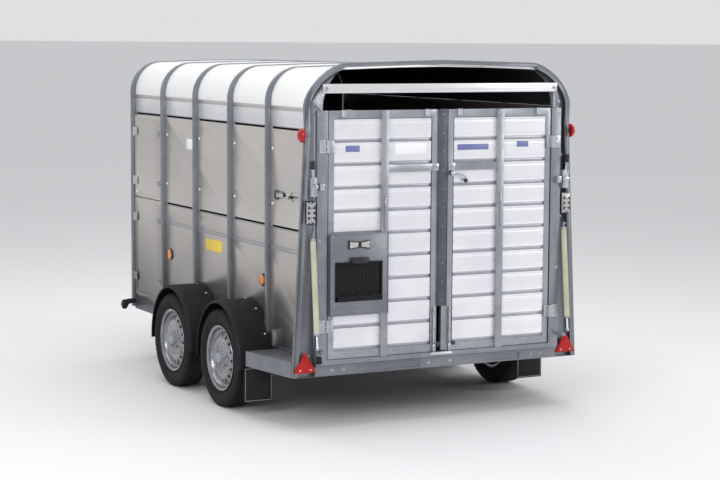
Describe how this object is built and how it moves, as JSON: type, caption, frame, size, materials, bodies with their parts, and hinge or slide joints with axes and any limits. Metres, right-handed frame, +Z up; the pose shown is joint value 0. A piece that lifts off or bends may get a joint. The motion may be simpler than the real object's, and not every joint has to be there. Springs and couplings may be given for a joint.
{
  "type": "livestock trailer",
  "caption": "Twin-axle livestock trailer: hooped aluminium body, white arched roof, ramp carrying two rear doors, side doors, mudguards, drawbar and jockey wheel.",
  "frame": {"origin": "centre of the footprint, on the ground", "axes": "+X to the right seen from behind, +Y forward to the coupling, +Z up"},
  "size_m": [2.3, 4.4802, 2.327],
  "materials": {
    "galvanised": "dull galvanised steel with a faint spangle",
    "body_panel": "plain reflective aluminium sheet",
    "door_plank": "bright ribbed aluminium planks",
    "bar_aluminium": "light aluminium bar",
    "roof_white": "white translucent moulded sheet",
    "deck": "plywood floor under a dark rubber mat",
    "black_metal": "black painted or coated",
    "bright_metal": "bright plated steel",
    "spring_sleeve": "cream plastic sleeve",
    "lamp": "clear faceted lens on a black base",
    "reflector_red": "red reflector",
    "tyre": "black tyre rubber",
    "rim_silver": "silver painted steel",
    "mudguard_black": "black moulded plastic",
    "flap_rubber": "black rubber",
    "jockey_tyre": "black rubber"
  },
  "bodies": {
    "trailer": {"chassis_frame": "galvanised", "drawbar": "galvanised", "coupling_body": "black_metal", "jockey_tube": "galvanised", "axle_rear": "galvanised", "axle_front": "galvanised", "floor_deck": "deck", "hoop_1": "galvanised", "hoop_2": "galvanised", "hoop_3": "galvanised", "hoop_4": "galvanised", "hoop_5": "galvanised", "rear_crossmember": "galvanised", "rear_frame": "galvanised", "roof_shell": "roof_white", "side_wall_left": "body_panel", "side_wall_right": "body_panel", "front_wall": "body_panel", "ramp_spring_left": "spring_sleeve", "ramp_spring_right": "spring_sleeve", "rear_lamp_left": "lamp", "rear_lamp_right": "lamp", "triangle_reflector_left": "reflector_red", "triangle_reflector_right": "reflector_red", "mud_flap_left": "flap_rubber", "mud_flap_right": "flap_rubber", "mudguard_rear_left": "mudguard_black", "mudguard_rear_right": "mudguard_black", "mudguard_front_left": "mudguard_black", "mudguard_front_right": "mudguard_black"},
    "ramp": {"ramp_frame": "galvanised"},
    "left_door": {"left_door_frame": "galvanised", "left_door_planks": "door_plank", "number_plate_board": "galvanised"},
    "right_door": {"right_door_frame": "galvanised", "right_door_planks": "door_plank"},
    "door_lever": {"door_latch_lever": "black_metal"},
    "bolt_left": {"door_bolt_left": "black_metal"},
    "bolt_right": {"door_bolt_right": "black_metal"},
    "latch_left": {"ramp_latch_left": "galvanised"},
    "latch_right": {"ramp_latch_right": "galvanised"},
    "spring_rod_left": {"ramp_spring_rod_left": "galvanised"},
    "spring_rod_right": {"ramp_spring_rod_right": "galvanised"},
    "top_bar": {"rear_bar": "bar_aluminium"},
    "gate_loop": {"gate_catch_loop": "black_metal"},
    "side_door_lower": {"lower_side_door": "body_panel"},
    "side_door_upper": {"upper_side_door": "body_panel"},
    "wheel_rear_left": {"tyre_rear_left": "tyre", "rim_rear_left": "rim_silver"},
    "wheel_rear_right": {"tyre_rear_right": "tyre", "rim_rear_right": "rim_silver"},
    "wheel_front_left": {"tyre_front_left": "tyre", "rim_front_left": "rim_silver"},
    "wheel_front_right": {"tyre_front_right": "tyre", "rim_front_right": "rim_silver"},
    "jockey_slide": {"jockey_leg": "bright_metal"},
    "jockey_roller": {"jockey_wheel": "jockey_tyre"},
    "crank": {"jockey_crank": "black_metal"},
    "hitch_handle": {"coupling_handle": "bright_metal"},
    "parking_brake": {"brake_lever": "black_metal"}
  },
  "joints": [
    {"name": "ramp_fold", "type": "hinge", "parent": "trailer", "child": "ramp", "pos_m": [0, -2.1421, 0.424], "axis": [1, 0, 0], "range_deg": [0, 100]},
    {"name": "left_door_swing", "type": "hinge", "parent": "ramp", "child": "left_door", "pos_m": [-0.832, -2.1681, 1.2], "axis": [0, 0, -1], "range_deg": [0, 110]},
    {"name": "right_door_swing", "type": "hinge", "parent": "ramp", "child": "right_door", "pos_m": [0.832, -2.1681, 1.2], "axis": [0, 0, 1], "range_deg": [0, 110]},
    {"name": "door_lever_turn", "type": "hinge", "parent": "right_door", "child": "door_lever", "pos_m": [0.06, -2.1661, 1.6], "axis": [0, 1, 0], "range_deg": [0, 60]},
    {"name": "bolt_left_lift", "type": "slide", "parent": "left_door", "child": "bolt_left", "axis": [0, 0, 1], "range_m": [0, 0.06]},
    {"name": "bolt_right_lift", "type": "slide", "parent": "right_door", "child": "bolt_right", "axis": [0, 0, 1], "range_m": [0, 0.06]},
    {"name": "latch_left_turn", "type": "hinge", "parent": "trailer", "child": "latch_left", "pos_m": [-0.931, -2.1581, 1.484], "axis": [1, 0, 0], "range_deg": [0, 100]},
    {"name": "latch_right_turn", "type": "hinge", "parent": "trailer", "child": "latch_right", "pos_m": [0.931, -2.1581, 1.484], "axis": [1, 0, 0], "range_deg": [0, 100]},
    {"name": "spring_left_stretch", "type": "slide", "parent": "trailer", "child": "spring_rod_left", "axis": [0, -0.0995, -0.995], "range_m": [0, 0.19]},
    {"name": "spring_right_stretch", "type": "slide", "parent": "trailer", "child": "spring_rod_right", "axis": [0, -0.0995, -0.995], "range_m": [0, 0.19]},
    {"name": "top_bar_release", "type": "slide", "parent": "trailer", "child": "top_bar", "axis": [0, -1, 0], "range_m": [0, 0.12]},
    {"name": "gate_loop_swing", "type": "hinge", "parent": "trailer", "child": "gate_loop", "pos_m": [-0.9195, -1.6201, 1.45], "axis": [0, 0, 1], "range_deg": [0, 80]},
    {"name": "lower_side_door_swing", "type": "hinge", "parent": "trailer", "child": "side_door_lower", "pos_m": [-0.9185, 0.9881, 0.86], "axis": [0, 0, -1], "range_deg": [0, 100]},
    {"name": "upper_side_door_swing", "type": "hinge", "parent": "trailer", "child": "side_door_upper", "pos_m": [-0.9185, 0.9881, 1.54], "axis": [0, 0, -1], "range_deg": [0, 100]},
    {"name": "wheel_rear_left_spin", "type": "hinge", "parent": "trailer", "child": "wheel_rear_left", "pos_m": [-1.058, -1.1551, 0.328], "axis": [1, 0, 0], "continuous": true},
    {"name": "wheel_rear_right_spin", "type": "hinge", "parent": "trailer", "child": "wheel_rear_right", "pos_m": [1.058, -1.1551, 0.328], "axis": [1, 0, 0], "continuous": true},
    {"name": "wheel_front_left_spin", "type": "hinge", "parent": "trailer", "child": "wheel_front_left", "pos_m": [-1.058, -0.3081, 0.328], "axis": [1, 0, 0], "continuous": true},
    {"name": "wheel_front_right_spin", "type": "hinge", "parent": "trailer", "child": "wheel_front_right", "pos_m": [1.058, -0.3081, 0.328], "axis": [1, 0, 0], "continuous": true},
    {"name": "jockey_raise", "type": "slide", "parent": "trailer", "child": "jockey_slide", "axis": [0, 0, 1], "range_m": [0, 0.12]},
    {"name": "jockey_roll", "type": "hinge", "parent": "jockey_slide", "child": "jockey_roller", "pos_m": [-0.19, 1.8931, 0.1], "axis": [1, 0, 0], "continuous": true},
    {"name": "crank_turn", "type": "hinge", "parent": "trailer", "child": "crank", "pos_m": [-0.19, 1.8931, 0.8], "axis": [0, 0, 1], "continuous": true},
    {"name": "hitch_handle_lift", "type": "hinge", "parent": "trailer", "child": "hitch_handle", "pos_m": [0, 2.2181, 0.4856], "axis": [-1, 0, 0], "range_deg": [0, 50]},
    {"name": "parking_brake_pull", "type": "hinge", "parent": "trailer", "child": "parking_brake", "pos_m": [0.086, 1.8438, 0.4096], "axis": [1, 0, 0], "range_deg": [-40, 0]}
  ],
  "couplings": [
    {"joint": "spring_left_stretch", "follows": "ramp_fold", "m_per_rad": 0.10027},
    {"joint": "spring_right_stretch", "follows": "ramp_fold", "m_per_rad": 0.10027}
  ]
}
